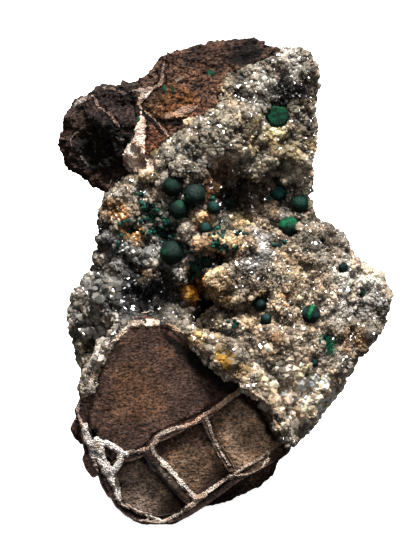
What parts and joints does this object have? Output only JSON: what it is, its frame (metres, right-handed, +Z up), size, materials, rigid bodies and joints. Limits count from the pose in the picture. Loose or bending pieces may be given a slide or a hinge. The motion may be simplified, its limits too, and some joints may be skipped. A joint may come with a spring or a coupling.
{
  "type": "malachite specimen",
  "caption": "Mineral specimen: dark velvety malachite balls on a sparkling crust of small quartz crystals over brown rock with white veins; stands on a flat broken foot.",
  "frame": {"origin": "middle of the underside of the bounding box, at the level that the flat broken foot rests on", "axes": "+Z up as the specimen stands, +X to the viewer's right, -Y towards the viewer and the crystal-covered show face, which leans back 15 degrees"},
  "size_m": [0.0668, 0.0518, 0.0905],
  "materials": {
    "host_rock": "dull, rough, iron-stained brown",
    "quartz": "glassy, clear to milky, grey to tan crystals",
    "vein": "white to cream fine-grained quartz",
    "malachite": "velvety dark green fibres"
  },
  "bodies": {
    "root": {"host_rock": "host_rock", "quartz_druse": "quartz", "block_veins": "vein", "lobe_veins": "vein", "nodule_vein": "vein", "malachite_ball_01": "malachite", "malachite_ball_02": "malachite", "malachite_ball_03": "malachite", "malachite_ball_04": "malachite", "malachite_ball_05": "malachite", "malachite_ball_06": "malachite", "malachite_ball_07": "malachite", "malachite_ball_08": "malachite", "malachite_ball_09": "malachite", "malachite_ball_10": "malachite", "malachite_ball_11": "malachite", "malachite_ball_12": "malachite", "malachite_ball_13": "malachite", "malachite_ball_14": "malachite", "malachite_ball_15": "malachite", "malachite_ball_16": "malachite", "malachite_ball_17": "malachite", "malachite_beads_01": "malachite", "malachite_beads_02": "malachite", "malachite_beads_03": "malachite", "malachite_beads_04": "malachite", "malachite_beads_05": "malachite", "malachite_split_ball": "malachite", "malachite_spray": "malachite"}
  },
  "joints": []
}
